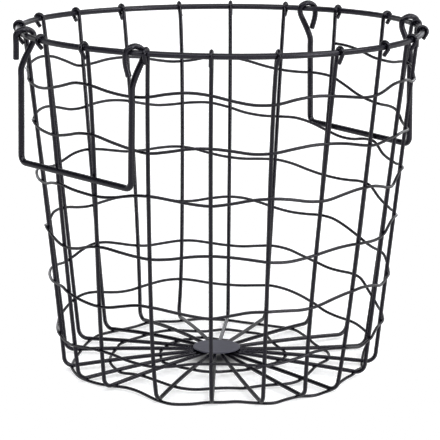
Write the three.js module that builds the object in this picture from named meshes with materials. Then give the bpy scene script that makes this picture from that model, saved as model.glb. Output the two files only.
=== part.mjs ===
import * as THREE from 'three';

// Round wire laundry basket: a top ring, twenty uprights that hook over it and
// turn inwards under the base as spokes, one wavy wire wound round the outside
// and on under the base, a disc over the spokes' ends and two swinging bail handles.
// Millimetres, +Z up, origin on the floor at the basket's axis, handles along X.

// ------------------------------------------------------------ driving dimensions
const RIM_RADIUS = 200;          // centre line of the top ring
const RIM_HEIGHT = 345;          // centre line of the top ring above the floor
// The ring is a little out of round and out of level: a constant, then the cosine
// and the sine of one, two and three times the angle, in millimetres.
const RIM_SPREAD = [0.08, 0, 0, 0, -0.82, 0.12, 0.52];
const RIM_RISE = [0, 0.6, -0.3, 0.75, -0.6, 0, 0];
const RIM_WIRE = 5.0;            // wire diameters
const UPRIGHT_WIRE = 3.5;
const WAVE_WIRE = 2.4;
const HANDLE_WIRE = 5.0;
const WELD_GAP = 0.4;            // clearance between two wires where they are welded
const CUT_GAP = 0.4;             // clearance between two lengths of the wavy wire

const UPRIGHT_COUNT = 20;
const FIRST_UPRIGHT_ANGLE = -44.444;
const CORNER_RADIUS = 161;       // where the straight side would meet the spoke
const CORNER_HEIGHT = 4.15;
const BEND_RADIUS = 10;
const SPOKE_END_RADIUS = 16;
const SPOKE_END_HEIGHT = 11.2;   // the base is slightly domed
const HUB = [-0.49, 0.43];   // the middle of the spokes' ends and of the disc, off the axis

// The wires are set by hand, so each upright stands a little off its even place:
// degrees at the ring, degrees at the base, millimetres outwards and up at the base.
const TOP_DRIFT = [-2.66, -5.7, -2.92, 0.54, 0.84, 0.49, -1.21, 0.15, -0.2, 0.55, 2.43, 1.89, -0.42, 0.37, 1.77, 1.25, 0.81, 0.69, -0.58, -2.88];
const FOOT_DRIFT = [-1.2, 1.95, -0.05, 1.68, 2.6, -0.4, 1.38, -0.56, -1.01, -2.71, -4.91, 0.65, -1.55, -4.75, 0.27, 1.53, 0.98, -0.73, -4.33, -0.68];
const FOOT_OUT = [0.93, 1.2, 1.7, 1.93, 1.18, -0.05, 0.03, 2, -0.05, 1.5, 0.1, -0.5, -0.38, -2.85, -0.15, 0.05, 2.4, -0.45, 0.9, -2.3];
const FOOT_RISE = [0.1, 0, 0.96, 2, 0.48, 0.08, 1.04, 2.28, 0.76, 0.15, 0, 1.11, 0, 1.34, 0, 0.38, 0, 0.72, 0, 2.25];
// Nor is it quite straight: rise of the spoke's middle, then sideways on the side
// its bow, its double bow and how far it is sprung at the top and at the foot.
const SPOKE_BOW = [0.74, -1.23, 1.03, 0.96, -0.51, -0.2, 2.27, 2.75, 2.33, 1.1, 0.74, 1.2, 1.35, 1.04, 2.16, 0.7, -1.33, -0.33, 0.81, 0.25];
const SIDE_BOW = [0.05, -0.12, -1.78, -0.8, -0.34, -0.16, -0.56, -0.96, 0.8, -0.24, -0.92, 1.12, -0.7, 0.1, -0.8, -0.1, 0.34, -1.44, 0.94, 0.68];
const SIDE_SWAY = [-0.12, 1.3, 1.02, 0.48, 0.12, -0.12, 0, 0.12, -0.48, -0.3, 0.97, -1.39, 0.3, 0.78, -0.3, -0.18, -0.6, 0.6, -0.6, -0.58];
const TOP_SPRING = [0, -1.5, 3, 2.6, -0.4, 0.4, 2.6, 2, 0, 1.4, 0.9, -1.7, -0.2, -2.2, 0.6, 0.6, 1.6, 1, -2, -1.4];
const FOOT_SPRING = [-0.75, -0.15, 1.35, 0.3, 0, 0, 3.3, 1.5, -0.3, -0.3, 3.6, -1.05, 2.1, 2.1, 4.65, 1.05, 1.05, 0.75, -3.15, 0.75];
// Its hook: the angle from straight out at which the curl ends, how far the tip
// is below the ring's centre line and how far it is turned along the ring.
const HOOK_END = [-31, -31, -32, -36, -34.2, -30, -35.6, -33.4, -34, -35, -30, -37.5, -39, -33, -33, -31, -32.6, -28, -36, -30];
const HOOK_DROP = [7.35, 9.42, 7.57, 8.07, 8.7, 9.42, 9.8, 10.41, 8.46, 8.47, 8.94, 9.63, 7.72, 10.14, 9.29, 9.6, 9.52, 10.06, 8.19, 9.83];
const HOOK_TURN = [-0.45, -0.3, 0.9, 0.21, 0.6, -0.3, -1.86, -0.36, -0.51, -0.99, 1.05, 1.65, 1.65, 0.36, -0.84, -0.6, -1.74, -0.84, -0.43, 0];

const DISC_RADIUS = 24.3;
const DISC_THICKNESS = 1.8;
const DISC_EDGE = 0.4;           // edge rounding
const DISC_BOTTOM = 13.5;

// The wavy wire runs clockwise seen from above. Its height is listed every WAVE_STEP
// degrees from WAVE_START, one long descent of just over six turns.
const WAVE_STEP = 6;
const WAVE_START = 10.7;
const WAVE_FIRST_UPRIGHT = 3;    // the wire starts on this upright, and each turn is counted from it
const WAVE_HEIGHTS = [
  311.1, 310.1, 306.9, 302.5, 301.5, 302.6, 306.0, 307.3, 305.4, 300.7, 299.0, 300.4, 304.8, 306.5, 305.5, 300.3, 298.2, 300.5, 303.1, 304.6,
  302.7, 298.8, 298.6, 302.4, 307.5, 309.5, 307.5, 303.7, 303.3, 305.8, 309.8, 310.0, 304.9, 300.3, 297.5, 297.5, 300.4, 302.3, 303.9, 302.6,
  304.6, 306.3, 306.1, 303.0, 296.3, 289.2, 289.5, 292.0, 292.7, 291.6, 287.8, 285.2, 286.3, 289.5, 289.8, 286.6, 281.5, 277.9, 277.0, 277.6,
  275.6, 268.7, 261.2, 257.1, 255.7, 256.8, 255.7, 248.6, 246.9, 246.9, 248.3, 250.4, 251.9, 252.0, 250.9, 249.8, 252.0, 255.7, 257.9, 258.1,
  255.9, 253.0, 252.5, 255.4, 257.6, 256.8, 253.3, 250.7, 253.4, 257.6, 262.0, 261.6, 257.3, 254.3, 254.2, 255.3, 258.9, 256.7, 253.0, 249.3,
  253.5, 255.0, 253.9, 249.8, 245.3, 244.3, 246.9, 247.9, 246.1, 241.9, 238.6, 238.7, 240.1, 239.8, 235.4, 229.7, 226.9, 226.8, 227.0, 223.4,
  217.3, 212.9, 212.7, 215.7, 215.0, 207.0, 203.9, 203.5, 206.2, 207.8, 208.6, 205.4, 200.0, 201.3, 205.7, 208.9, 208.9, 206.3, 203.1, 203.7,
  207.1, 209.2, 208.3, 205.1, 202.9, 204.3, 207.1, 209.3, 208.1, 204.2, 202.3, 202.8, 203.9, 205.8, 203.7, 199.6, 199.1, 199.2, 200.3, 199.7,
  197.1, 194.0, 191.9, 193.8, 197.8, 199.2, 197.4, 193.9, 190.6, 190.2, 191.8, 192.2, 189.7, 184.4, 180.2, 178.6, 179.2, 179.3, 176.6, 172.0,
  168.6, 167.6, 168.4, 170.1, 168.3, 161.2, 157.0, 156.1, 157.3, 157.9, 160.1, 159.5, 155.7, 151.4, 151.1, 152.7, 154.0, 153.6, 151.5, 148.4,
  146.3, 147.3, 150.4, 153.0, 154.1, 152.7, 149.4, 147.6, 148.5, 150.4, 152.0, 149.8, 144.8, 142.4, 144.5, 148.7, 152.2, 148.9, 144.6, 139.1,
  138.8, 144.7, 145.5, 143.8, 140.4, 138.6, 140.1, 141.7, 141.3, 139.5, 136.0, 132.0, 131.5, 134.0, 135.8, 135.2, 131.4, 126.4, 123.6, 123.3,
  124.3, 123.4, 118.9, 113.3, 108.4, 106.5, 106.9, 106.6, 102.9, 98.1, 97.6, 96.3, 97.0, 101.5, 104.5, 106.3, 105.3, 102.3, 98.3, 96.5,
  97.5, 98.3, 98.1, 95.0, 92.2, 93.9, 96.7, 99.4, 99.7, 96.0, 91.8, 90.4, 91.3, 93.7, 97.4, 96.6, 96.1, 95.6, 95.0, 94.3,
  92.7, 90.7, 88.6, 90.1, 94.3, 97.0, 96.0, 92.0, 87.5, 85.0, 86.1, 87.5, 87.3, 84.7, 82.1, 81.2, 82.6, 83.8, 82.0, 77.0,
  72.3, 69.2, 69.0, 70.0, 68.4, 60.9, 54.8, 51.3, 50.9, 49.1, 47.6, 47.8, 44.6, 42.8, 42.0, 45.5, 48.9, 51.3, 51.3, 48.0,
  45.3, 44.1, 45.4, 46.6, 46.6, 45.5, 42.1, 39.8, 39.8, 41.4, 44.0, 44.4, 43.1, 40.9, 38.9, 38.9, 41.7, 40.7, 38.3, 37.7,
  38.0, 40.5, 43.1, 45.7, 46.5, 44.5, 40.9, 38.4, 38.5, 41.5, 44.5, 45.0, 43.0, 39.8, 37.8, 37.4, 38.4, 39.3, 37.4, 33.1,
  27.1, 21.5, 19.3, 19.0, 18.8, 17.2,
];
// How far each span between two uprights stands out from a straight line, in turn.
const SPAN_BULGE = [
  -1.0, -1.1, -1.0, -0.8, -0.5, -1.0, -1.0, -1.0, -1.0, -1.0, -1.0, -0.5, -3.2, -0.5, -1.2, -1.0, -1.0, -1.0, -1.0, -1.0,
  -1.0, -0.6, -1.2, -1.8, -1.0, -1.0, -1.0, -1.0, -1.0, -1.0, -1.0, -0.2, -2.4, -0.8, -1.4, -1.0, -1.0, -1.0, -1.0, -1.0,
  -1.0, -1.6, -1.0, -2.2, -0.8, -1.0, -1.0, -1.0, -1.0, -1.0, -1.0, -1.2, 0.3, -1.1, 0.0, -1.0, -1.0, -1.0, -1.0, -1.0,
  -1.0, -0.9, -1.0, -2.2, -0.6, -1.0, -1.0, -1.0, -1.0, -1.0, -1.0, -0.2, -2.4, -0.1, -1.1, -1.0, -1.0, -1.0, -1.0, -1.0,
  -1.0, -0.5, -0.8, -1.3, -1.1, -1.0, -1.0, -1.0, -1.0, -1.0, -1.0, -1.4, -0.6, -1.0, -0.6, -1.0, -1.0, -1.0, -1.0, -1.0,
  -1.0, -0.3, -0.4, -2.2, -1.3, -1.0, -1.0, -1.0, -1.0, -1.0, -1.0, -0.9, -2.2, -0.6, -0.4, -1.0, -1.0, -1.0, -1.0, -1.0,
  -1.0, -0.1, -1.0, -1.0,
];
// Then it leaves the side and goes in under the spokes to the floor.
const FOOT_BEND = -0.052;        // on the bend of the last upright it passes, 0 at its side to 1 at its underside
const FOOT_PAST = 1.1;           // degrees past that upright at which it turns in
const FOOT_MIDDLE = [153, 5.2];  // radius and height half way to the next one
const FOOT_UNDER = 148.8;        // radius under that one's spoke
const FOOT_LAST = 149.7;         // and half way from there to the spiral
// Under the base the same wire goes on as a flat spiral, listed by radius.
const SPIRAL_START = -2217.07;
const SPIRAL_FIRST_UPRIGHT = 19;
const SPIRAL_RADII = [
  146.7, 147.6, 145.7, 146.8, 151.1, 152.2, 153.6, 148.9, 151.0, 155.6, 150.2, 144.8, 146.5, 147.9, 154.2, 157.7, 152.2, 145.2, 140.0, 139.2,
  144.2, 148.4, 151.1, 153.6, 153.6, 152.8, 149.8, 147.2, 146.0, 145.8, 147.3, 149.6, 152.1, 153.8, 150.4, 145.2, 144.3, 148.7, 149.8, 143.9,
  148.9, 154.9, 153.3, 150.2, 143.7, 139.7, 136.8, 134.4, 133.7, 131.0, 125.1, 120.0, 115.9, 114.0, 115.2, 117.4, 116.8, 115.4, 113.4, 109.2,
  106.5, 106.0, 107.3, 109.3, 112.1, 114.8, 114.4, 110.4, 106.6, 105.7, 106.8, 106.4, 107.9, 111.8, 116.0, 116.9, 115.1, 111.1, 108.0, 106.0,
  105.6, 108.8, 114.2, 114.0, 113.9, 113.3, 111.8, 110.5, 109.6, 108.8, 109.6, 111.5, 109.4, 105.8, 103.7, 103.1, 101.9, 98.3, 93.2, 87.9,
  85.5, 88.5, 96.5, 104.2, 102.4, 98.9, 96.4, 93.7, 88.6, 83.0, 77.0, 72.9, 70.6, 70.5, 71.7, 71.6, 71.4, 71.2, 70.1, 68.8,
  68.1, 66.8, 65.9, 64.1, 62.7, 62.8, 61.3, 59.8, 58.6, 57.2, 56.7, 58.6, 61.4, 63.6, 64.6, 65.0, 64.6, 63.3, 63.2, 62.5,
  62.0, 62.9, 64.4, 63.8, 62.0, 60.2, 59.8, 59.5, 59.6, 59.5, 59.5, 58.9, 58.9, 59.9, 57.5, 56.5, 57.2, 53.5, 56.6, 57.1,
  56.6, 56.0, 54.7, 53.6, 53.5, 53.8,
];
const SPIRAL_FLAT = 215;         // degrees of the spiral that lie on the floor
const SPIRAL_LIFT = 40;          // degrees over which it then rises to the spokes

// Bail handles. Each has two eyes round the top ring. For each eye: its angle on the
// ring, half its spread along the swing axis, its cut tail's place along the axis,
// outwards and up, and the leg's place along the axis, its drop and where it starts.
const HANDLES = [
  {
    name: 'handle_left',
    lean: 0.6,
    eyes: [
      { angle: 159.41, along: 4, tail: [-4, 7.6, -23.2], shift: -4.4, drop: 124.6, kink: 32.8 },
      { angle: 206.03, along: 3.45, tail: [-1.2, 5.6, -21.5], shift: -1.65, drop: 126.45, kink: 31.9 },
    ],
  },
  {
    name: 'handle_right',
    lean: 1.1,
    eyes: [
      { angle: -25.9, along: 3.35, tail: [-3.8, 5.6, -26], shift: -0.2, drop: 127, kink: 31.6 },
      { angle: 20.98, along: 3.45, tail: [-0.4, 5.6, -22], shift: -3.25, drop: 123.85, kink: 32.4 },
    ],
  },
];
const HANDLE_CORNER = 7;
const HANDLE_OUT = 1.0;          // legs outside the swing axis
const EYE_ACROSS = 7.75;         // half the eye's spread across the swing axis
const EYE_RISE = 6.1;            // its crown above the swing axis

// ------------------------------------------------------------ small tools
const deg = (a) => (a * Math.PI) / 180;
const polar = (radius, angle, z) => new THREE.Vector3(radius * Math.cos(deg(angle)), radius * Math.sin(deg(angle)), z);

// A path whose steps fall exactly on the listed points.
class PolyPath extends THREE.Curve {
  constructor(points) {
    super();
    this.points = points;
    this.steps = points.length - 1;
  }
  getPoint(t, target = new THREE.Vector3()) {
    const f = Math.min(Math.max(t, 0), 1) * this.steps;
    const i = Math.min(Math.floor(f + 1e-9), this.steps - 1);
    return target.lerpVectors(this.points[i], this.points[i + 1], Math.max(f - i, 0));
  }
  getPointAt(t, target) {
    return this.getPoint(t, target);
  }
  getTangent(t, target = new THREE.Vector3()) {
    const i = Math.round(Math.min(Math.max(t, 0), 1) * this.steps);
    const back = new THREE.Vector3();
    const ahead = new THREE.Vector3();
    if (i > 0) back.subVectors(this.points[i], this.points[i - 1]).normalize();
    if (i < this.steps) ahead.subVectors(this.points[i + 1], this.points[i]).normalize();
    return target.addVectors(back, ahead).normalize();
  }
  getTangentAt(t, target) {
    return this.getTangent(t, target);
  }
}

// Polygon section with a flat facing the path's normal.
function section(radius, sides) {
  const shape = new THREE.Shape();
  for (let i = 0; i < sides; i += 1) {
    const a = ((i + 0.5) * 2 * Math.PI) / sides;
    if (i === 0) shape.moveTo(radius * Math.cos(a), radius * Math.sin(a));
    else shape.lineTo(radius * Math.cos(a), radius * Math.sin(a));
  }
  shape.closePath();
  return shape;
}

function wire(points, radius, sides) {
  const path = new PolyPath(points);
  return new THREE.ExtrudeGeometry(section(radius, sides), { steps: path.steps, extrudePath: path, bevelEnabled: false });
}

// Moves the first or last point of a wire back along it.
function trimmed(points, atStart, atEnd) {
  const out = points.map((p) => p.clone());
  const n = out.length;
  if (atStart) out[0].addScaledVector(new THREE.Vector3().subVectors(out[1], out[0]).normalize(), atStart);
  if (atEnd) out[n - 1].addScaledVector(new THREE.Vector3().subVectors(out[n - 2], out[n - 1]).normalize(), atEnd);
  return out;
}

// ------------------------------------------------------------ materials
const coated = (color, roughness) => new THREE.MeshStandardMaterial({ color, roughness, metalness: 0.2 });
const rimMaterial = coated(0x2d2d32, 0.45);
const uprightMaterial = coated(0x2d2d31, 0.45);
const waveMaterial = coated(0x2b2b30, 0.48);
const handleMaterial = coated(0x2c2c31, 0.42);
const discMaterial = coated(0x3a3a40, 0.5);

const basket = new THREE.Group();
function add(name, geometry, material) {
  const mesh = new THREE.Mesh(geometry, material);
  mesh.name = name;
  basket.add(mesh);
}

// ------------------------------------------------------------ top ring
const RIM_SIDES = 8;
function outOfTrue(list, angle) {
  let v = list[0];
  for (let n = 1; n <= 3; n += 1) v += list[2 * n - 1] * Math.cos(n * deg(angle)) + list[2 * n] * Math.sin(n * deg(angle));
  return v;
}
const ringRadius = (angle) => RIM_RADIUS + outOfTrue(RIM_SPREAD, angle);
const ringHeight = (angle) => RIM_HEIGHT + outOfTrue(RIM_RISE, angle);
{
  const ring = new THREE.TorusGeometry(RIM_RADIUS, (RIM_WIRE / 2) * 1.03, RIM_SIDES, 96).translate(0, 0, RIM_HEIGHT);
  const at = ring.attributes.position;
  for (let i = 0; i < at.count; i += 1) {
    const angle = (Math.atan2(at.getY(i), at.getX(i)) * 180) / Math.PI;
    const r = Math.hypot(at.getX(i), at.getY(i));
    const grow = (r + outOfTrue(RIM_SPREAD, angle)) / r;
    at.setXYZ(i, at.getX(i) * grow, at.getY(i) * grow, at.getZ(i) + outOfTrue(RIM_RISE, angle));
  }
  add('rim_ring', ring, rimMaterial);
}

// ------------------------------------------------------------ uprights
const HOOK_RADIUS = RIM_WIRE / 2 + UPRIGHT_WIRE / 2 + WELD_GAP;
const WAVE_OFFSET = UPRIGHT_WIRE / 2 + WAVE_WIRE / 2 + WELD_GAP;
const topAngle = (k) => FIRST_UPRIGHT_ANGLE + (360 / UPRIGHT_COUNT) * k + TOP_DRIFT[k];
const footAngle = (k) => FIRST_UPRIGHT_ANGLE + (360 / UPRIGHT_COUNT) * k + FOOT_DRIFT[k];
const footRadius = (k) => CORNER_RADIUS + FOOT_OUT[k];
const footHeight = (k) => CORNER_HEIGHT + FOOT_RISE[k];

// Where the side runs into the curl: the tangent from the corner to the hook's circle.
function hookStart(k) {
  const out = footRadius(k) - ringRadius(topAngle(k));
  const down = footHeight(k) - ringHeight(topAngle(k));
  return Math.atan2(down, out) - Math.acos(HOOK_RADIUS / Math.hypot(out, down)) + 2 * Math.PI;
}
function onHook(k, phi) {
  const angle = topAngle(k);
  return polar(ringRadius(angle) + HOOK_RADIUS * Math.cos(phi), angle, ringHeight(angle) + HOOK_RADIUS * Math.sin(phi));
}
const cornerPoint = (k) => polar(footRadius(k), footAngle(k), footHeight(k));
const sideTop = (k) => onHook(k, hookStart(k));
const spokeEnd = (k) => polar(SPOKE_END_RADIUS, footAngle(k), SPOKE_END_HEIGHT).add(new THREE.Vector3(HUB[0], HUB[1], 0));

// Centre line of an upright's side, t from 0 at the corner to 1 at the curl.
function alongSide(k, t) {
  const sideways = SIDE_BOW[k] * 4 * t * (1 - t) + SIDE_SWAY[k] * 10.392 * t * (1 - t) * (2 * t - 1)
    + TOP_SPRING[k] * (t ** 8 - t) + FOOT_SPRING[k] * ((1 - t) ** 8 - (1 - t));
  return cornerPoint(k).lerp(sideTop(k), t)
    .addScaledVector(polar(1, (topAngle(k) + footAngle(k)) / 2 + 90, 0), sideways);
}

function bendPoints(from, corner, to, radius, count) {
  const a = new THREE.Vector3().subVectors(from, corner).normalize();
  const b = new THREE.Vector3().subVectors(to, corner).normalize();
  const half = Math.acos(a.dot(b)) / 2;
  const centre = corner.clone().addScaledVector(new THREE.Vector3().addVectors(a, b).normalize(), radius / Math.sin(half));
  const u = corner.clone().addScaledVector(a, radius / Math.tan(half)).sub(centre).divideScalar(radius);
  const v = corner.clone().addScaledVector(b, radius / Math.tan(half)).sub(centre).divideScalar(radius);
  const span = Math.acos(Math.min(1, Math.max(-1, u.dot(v))));
  const out = [];
  for (let i = 0; i <= count; i += 1) {
    const f = i / count;
    out.push(centre.clone()
      .addScaledVector(u, (radius * Math.sin((1 - f) * span)) / Math.sin(span))
      .addScaledVector(v, (radius * Math.sin(f * span)) / Math.sin(span)));
  }
  return out;
}

const SIDE_STEPS = [0.94, 0.86, 0.7, 0.5, 0.3, 0.16];
function uprightPoints(k) {
  const angle = topAngle(k);
  const turned = polar(1, angle + 90, 0);
  const end = deg(HOOK_END[k]);
  const run = (HOOK_RADIUS * Math.sin(end) + HOOK_DROP[k]) / Math.cos(end);
  const points = [polar(ringRadius(angle) + HOOK_RADIUS * Math.cos(end) + run * Math.sin(end), angle, ringHeight(angle) - HOOK_DROP[k])
    .addScaledVector(turned, HOOK_TURN[k])];
  const curl = 12;
  for (let i = 0; i <= curl; i += 1) {
    const u = Math.max(0, 1 - (1.444 * i) / curl);
    points.push(onHook(k, end + ((hookStart(k) - end) * i) / curl).addScaledVector(turned, HOOK_TURN[k] * 0.55 * u * u));
  }
  SIDE_STEPS.forEach((t) => points.push(alongSide(k, t)));
  points.push(...bendPoints(alongSide(k, 0.08), cornerPoint(k), spokeEnd(k), BEND_RADIUS, 6));
  const from = points[points.length - 1];
  const spoke = 4;
  for (let i = 1; i <= spoke; i += 1) {
    const f = i / spoke;
    const p = from.clone().lerp(spokeEnd(k), f);
    p.z += 4 * SPOKE_BOW[k] * f * (1 - f);
    points.push(p);
  }
  return points;
}
for (let k = 0; k < UPRIGHT_COUNT; k += 1) {
  add(`upright_${String(k + 1).padStart(2, '0')}`, wire(uprightPoints(k), (UPRIGHT_WIRE / 2) * 1.06, 6), uprightMaterial);
}

// ------------------------------------------------------------ disc over the spokes' inner ends
{
  const e = DISC_EDGE;
  const t = DISC_BOTTOM + DISC_THICKNESS;
  const profile = [[0, DISC_BOTTOM], [DISC_RADIUS - e, DISC_BOTTOM], [DISC_RADIUS, DISC_BOTTOM + e], [DISC_RADIUS, t - e], [DISC_RADIUS - e, t], [0, t]];
  const disc = new THREE.LatheGeometry(profile.map(([x, y]) => new THREE.Vector2(x, y)), 40);
  disc.rotateX(Math.PI / 2).translate(HUB[0], HUB[1], 0);
  add('centre_disc', disc, discMaterial);
}

// ------------------------------------------------------------ wavy wire
function listed(values, f) {
  // smooth value between listed ones
  const i = Math.min(Math.max(Math.floor(f), 0), values.length - 2);
  const t = f - i;
  const p1 = values[i];
  const p2 = values[i + 1];
  const p0 = i > 0 ? values[i - 1] : 2 * p1 - p2;
  const p3 = i + 2 < values.length ? values[i + 2] : 2 * p2 - p1;
  return 0.5 * (2 * p1 + (p2 - p0) * t + (2 * p0 - 5 * p1 + 4 * p2 - p3) * t * t + (3 * p1 - p0 - 3 * p2 + p3) * t * t * t);
}
const waveHeight = (angle) => listed(WAVE_HEIGHTS, (WAVE_START - angle) / WAVE_STEP);
const WAVE_END = WAVE_START - WAVE_STEP * (WAVE_HEIGHTS.length - 1);
const spiralRadius = (angle) => listed(SPIRAL_RADII, (SPIRAL_START - angle) / WAVE_STEP);
const SPIRAL_END = SPIRAL_START - WAVE_STEP * (SPIRAL_RADII.length - 1);

// Place of an upright's centre line on its side.
function onSide(k, z) {
  const top = sideTop(k).z;
  const foot = footHeight(k);
  const p = alongSide(k, (z - foot) / (top - foot));
  let angle = (Math.atan2(p.y, p.x) * 180) / Math.PI;
  const near = footAngle(k);
  while (angle - near > 180) angle -= 360;
  while (angle - near < -180) angle += 360;
  return { radius: Math.hypot(p.x, p.y), angle };
}
const sideLean = Math.atan2(RIM_RADIUS - HOOK_RADIUS - CORNER_RADIUS, RIM_HEIGHT - CORNER_HEIGHT);
const sideOffset = WAVE_OFFSET / Math.cos(sideLean);

// Welds of the wavy wire on the sides, from the top down.
const welds = [];
for (let turn = 0; turn >= -7; turn -= 1) {
  for (let k = 0; k < UPRIGHT_COUNT; k += 1) {
    let angle = footAngle(k) + 360 * turn;
    for (let i = 0; i < 6; i += 1) angle = onSide(k, waveHeight(Math.min(WAVE_START, Math.max(WAVE_END, angle)))).angle + 360 * turn;
    if (angle <= WAVE_START && angle >= WAVE_END) welds.push({ k, angle, span: WAVE_FIRST_UPRIGHT - 1 - k - UPRIGHT_COUNT * turn });
  }
}
welds.sort((a, b) => b.angle - a.angle);
const atWeld = (w) => {
  const z = waveHeight(w.angle);
  return polar(onSide(w.k, z).radius + sideOffset, w.angle, z);
};
const between = (a, b) => {
  const angle = (a.angle + b.angle) / 2;
  const z = waveHeight(angle);
  return polar((onSide(a.k, z).radius + onSide(b.k, z).radius) / 2 + sideOffset + SPAN_BULGE[b.span], angle, z);
};

// Outer face of an upright's bend at f from 0, side, to 1, underside.
function roundBend(k, f) {
  const top = sideTop(k);
  const up = new THREE.Vector2(Math.hypot(top.x, top.y) - footRadius(k), top.z - footHeight(k)).normalize();
  const inward = new THREE.Vector2(SPOKE_END_RADIUS - footRadius(k), SPOKE_END_HEIGHT - footHeight(k)).normalize();
  const half = Math.acos(up.dot(inward)) / 2;
  const centre = new THREE.Vector2(footRadius(k), footHeight(k))
    .addScaledVector(new THREE.Vector2().addVectors(up, inward).normalize(), BEND_RADIUS / Math.sin(half));
  const a = Math.atan2(-up.x, up.y) - (Math.PI - 2 * half) * f;
  const r = BEND_RADIUS + WAVE_OFFSET;
  return [centre.x + r * Math.cos(a), centre.y + r * Math.sin(a)];
}
const WAVE_SECTION = (WAVE_WIRE / 2) * 1.06;
const FLOOR_LEVEL = WAVE_SECTION * Math.cos(Math.PI / 6); // centre line of the wire on the floor
function spokeUnderside(k, radius) {
  const out = footRadius(k);
  const rise = (SPOKE_END_HEIGHT - footHeight(k)) / (out - SPOKE_END_RADIUS);
  const f = Math.min(Math.max((out - 9.4 - radius) / (out - 9.4 - SPOKE_END_RADIUS), 0), 1);
  return footHeight(k) + (out - radius) * rise + 4 * SPOKE_BOW[k] * f * (1 - f) - WAVE_OFFSET * Math.hypot(1, rise);
}

const turns = [];
let current = [polar(onSide(WAVE_FIRST_UPRIGHT, waveHeight(WAVE_START)).radius + sideOffset, WAVE_START, waveHeight(WAVE_START))];
welds.forEach((w, i) => {
  if (i > 0) current.push(between(welds[i - 1], w));
  current.push(atWeld(w));
  if (w.k === WAVE_FIRST_UPRIGHT && i > 0) {
    turns.push(current);
    current = [atWeld(w)];
  }
});
// From the last weld on the side, round the foot of the next upright and in to the floor.
{
  const k1 = 1;
  const k0 = 0;
  const base = -360 * 6;
  const z = waveHeight(WAVE_END);
  current.push(polar(onSide(k1, z).radius + sideOffset, WAVE_END, z));
  const [ra, za] = roundBend(k1, FOOT_BEND);
  current.push(polar(ra, footAngle(k1) - FOOT_PAST + base, za));
  const low = WAVE_SECTION + 0.01; // its section is turned here, so it stands on a corner
  current.push(polar(FOOT_MIDDLE[0], (footAngle(k1) + footAngle(k0)) / 2 + base, FOOT_MIDDLE[1]));
  current.push(polar(FOOT_UNDER, footAngle(k0) + base, low));
  current.push(polar(FOOT_LAST, (footAngle(k0) + base + SPIRAL_START) / 2, low));
  current.push(polar(spiralRadius(SPIRAL_START), SPIRAL_START, low));
  const k = SPIRAL_FIRST_UPRIGHT;
  const angle = footAngle(k) - 360 * 7;
  current.push(polar(spiralRadius(angle), angle, low));
  turns.push(current);
}
turns.forEach((points, i) => {
  const name = i < turns.length - 1 ? `wavy_wire_turn_${i + 1}` : 'wavy_wire_foot';
  add(name, wire(trimmed(points, i > 0 ? CUT_GAP / 2 : 0, CUT_GAP / 2), WAVE_SECTION, 6), waveMaterial);
});

// Flat spiral under the spokes.
{
  const crossings = [];
  for (let turn = -5; turn >= -10; turn -= 1) {
    for (let k = 0; k < UPRIGHT_COUNT; k += 1) {
      const angle = footAngle(k) + 360 * turn;
      if (angle <= footAngle(SPIRAL_FIRST_UPRIGHT) - 360 * 7 + 1e-6 && angle >= SPIRAL_END) crossings.push({ k, angle });
    }
  }
  crossings.sort((a, b) => b.angle - a.angle);
  const start = crossings[0].angle;
  const level = (k, angle) => {
    const f = Math.min(Math.max((start - angle - SPIRAL_FLAT) / SPIRAL_LIFT, 0), 1);
    const lift = f * f * (3 - 2 * f);
    const r = Math.min(spiralRadius(angle), footRadius(k) - 9.5);
    return FLOOR_LEVEL + lift * Math.max(0, spokeUnderside(k, r) - FLOOR_LEVEL);
  };
  const points = [];
  crossings.forEach((c, i) => {
    if (i > 0) {
      const p = crossings[i - 1];
      const angle = (p.angle + c.angle) / 2;
      points.push(polar(spiralRadius(angle), angle, (level(p.k, angle) + level(c.k, angle)) / 2));
    }
    points.push(polar(spiralRadius(c.angle), c.angle, level(c.k, c.angle)));
  });
  const last = crossings[crossings.length - 1];
  points.push(polar(spiralRadius(SPIRAL_END), SPIRAL_END, level(last.k, SPIRAL_END)));
  add('base_spiral', wire(trimmed(points, CUT_GAP / 2, 0), WAVE_SECTION, 6), waveMaterial);
}

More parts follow.
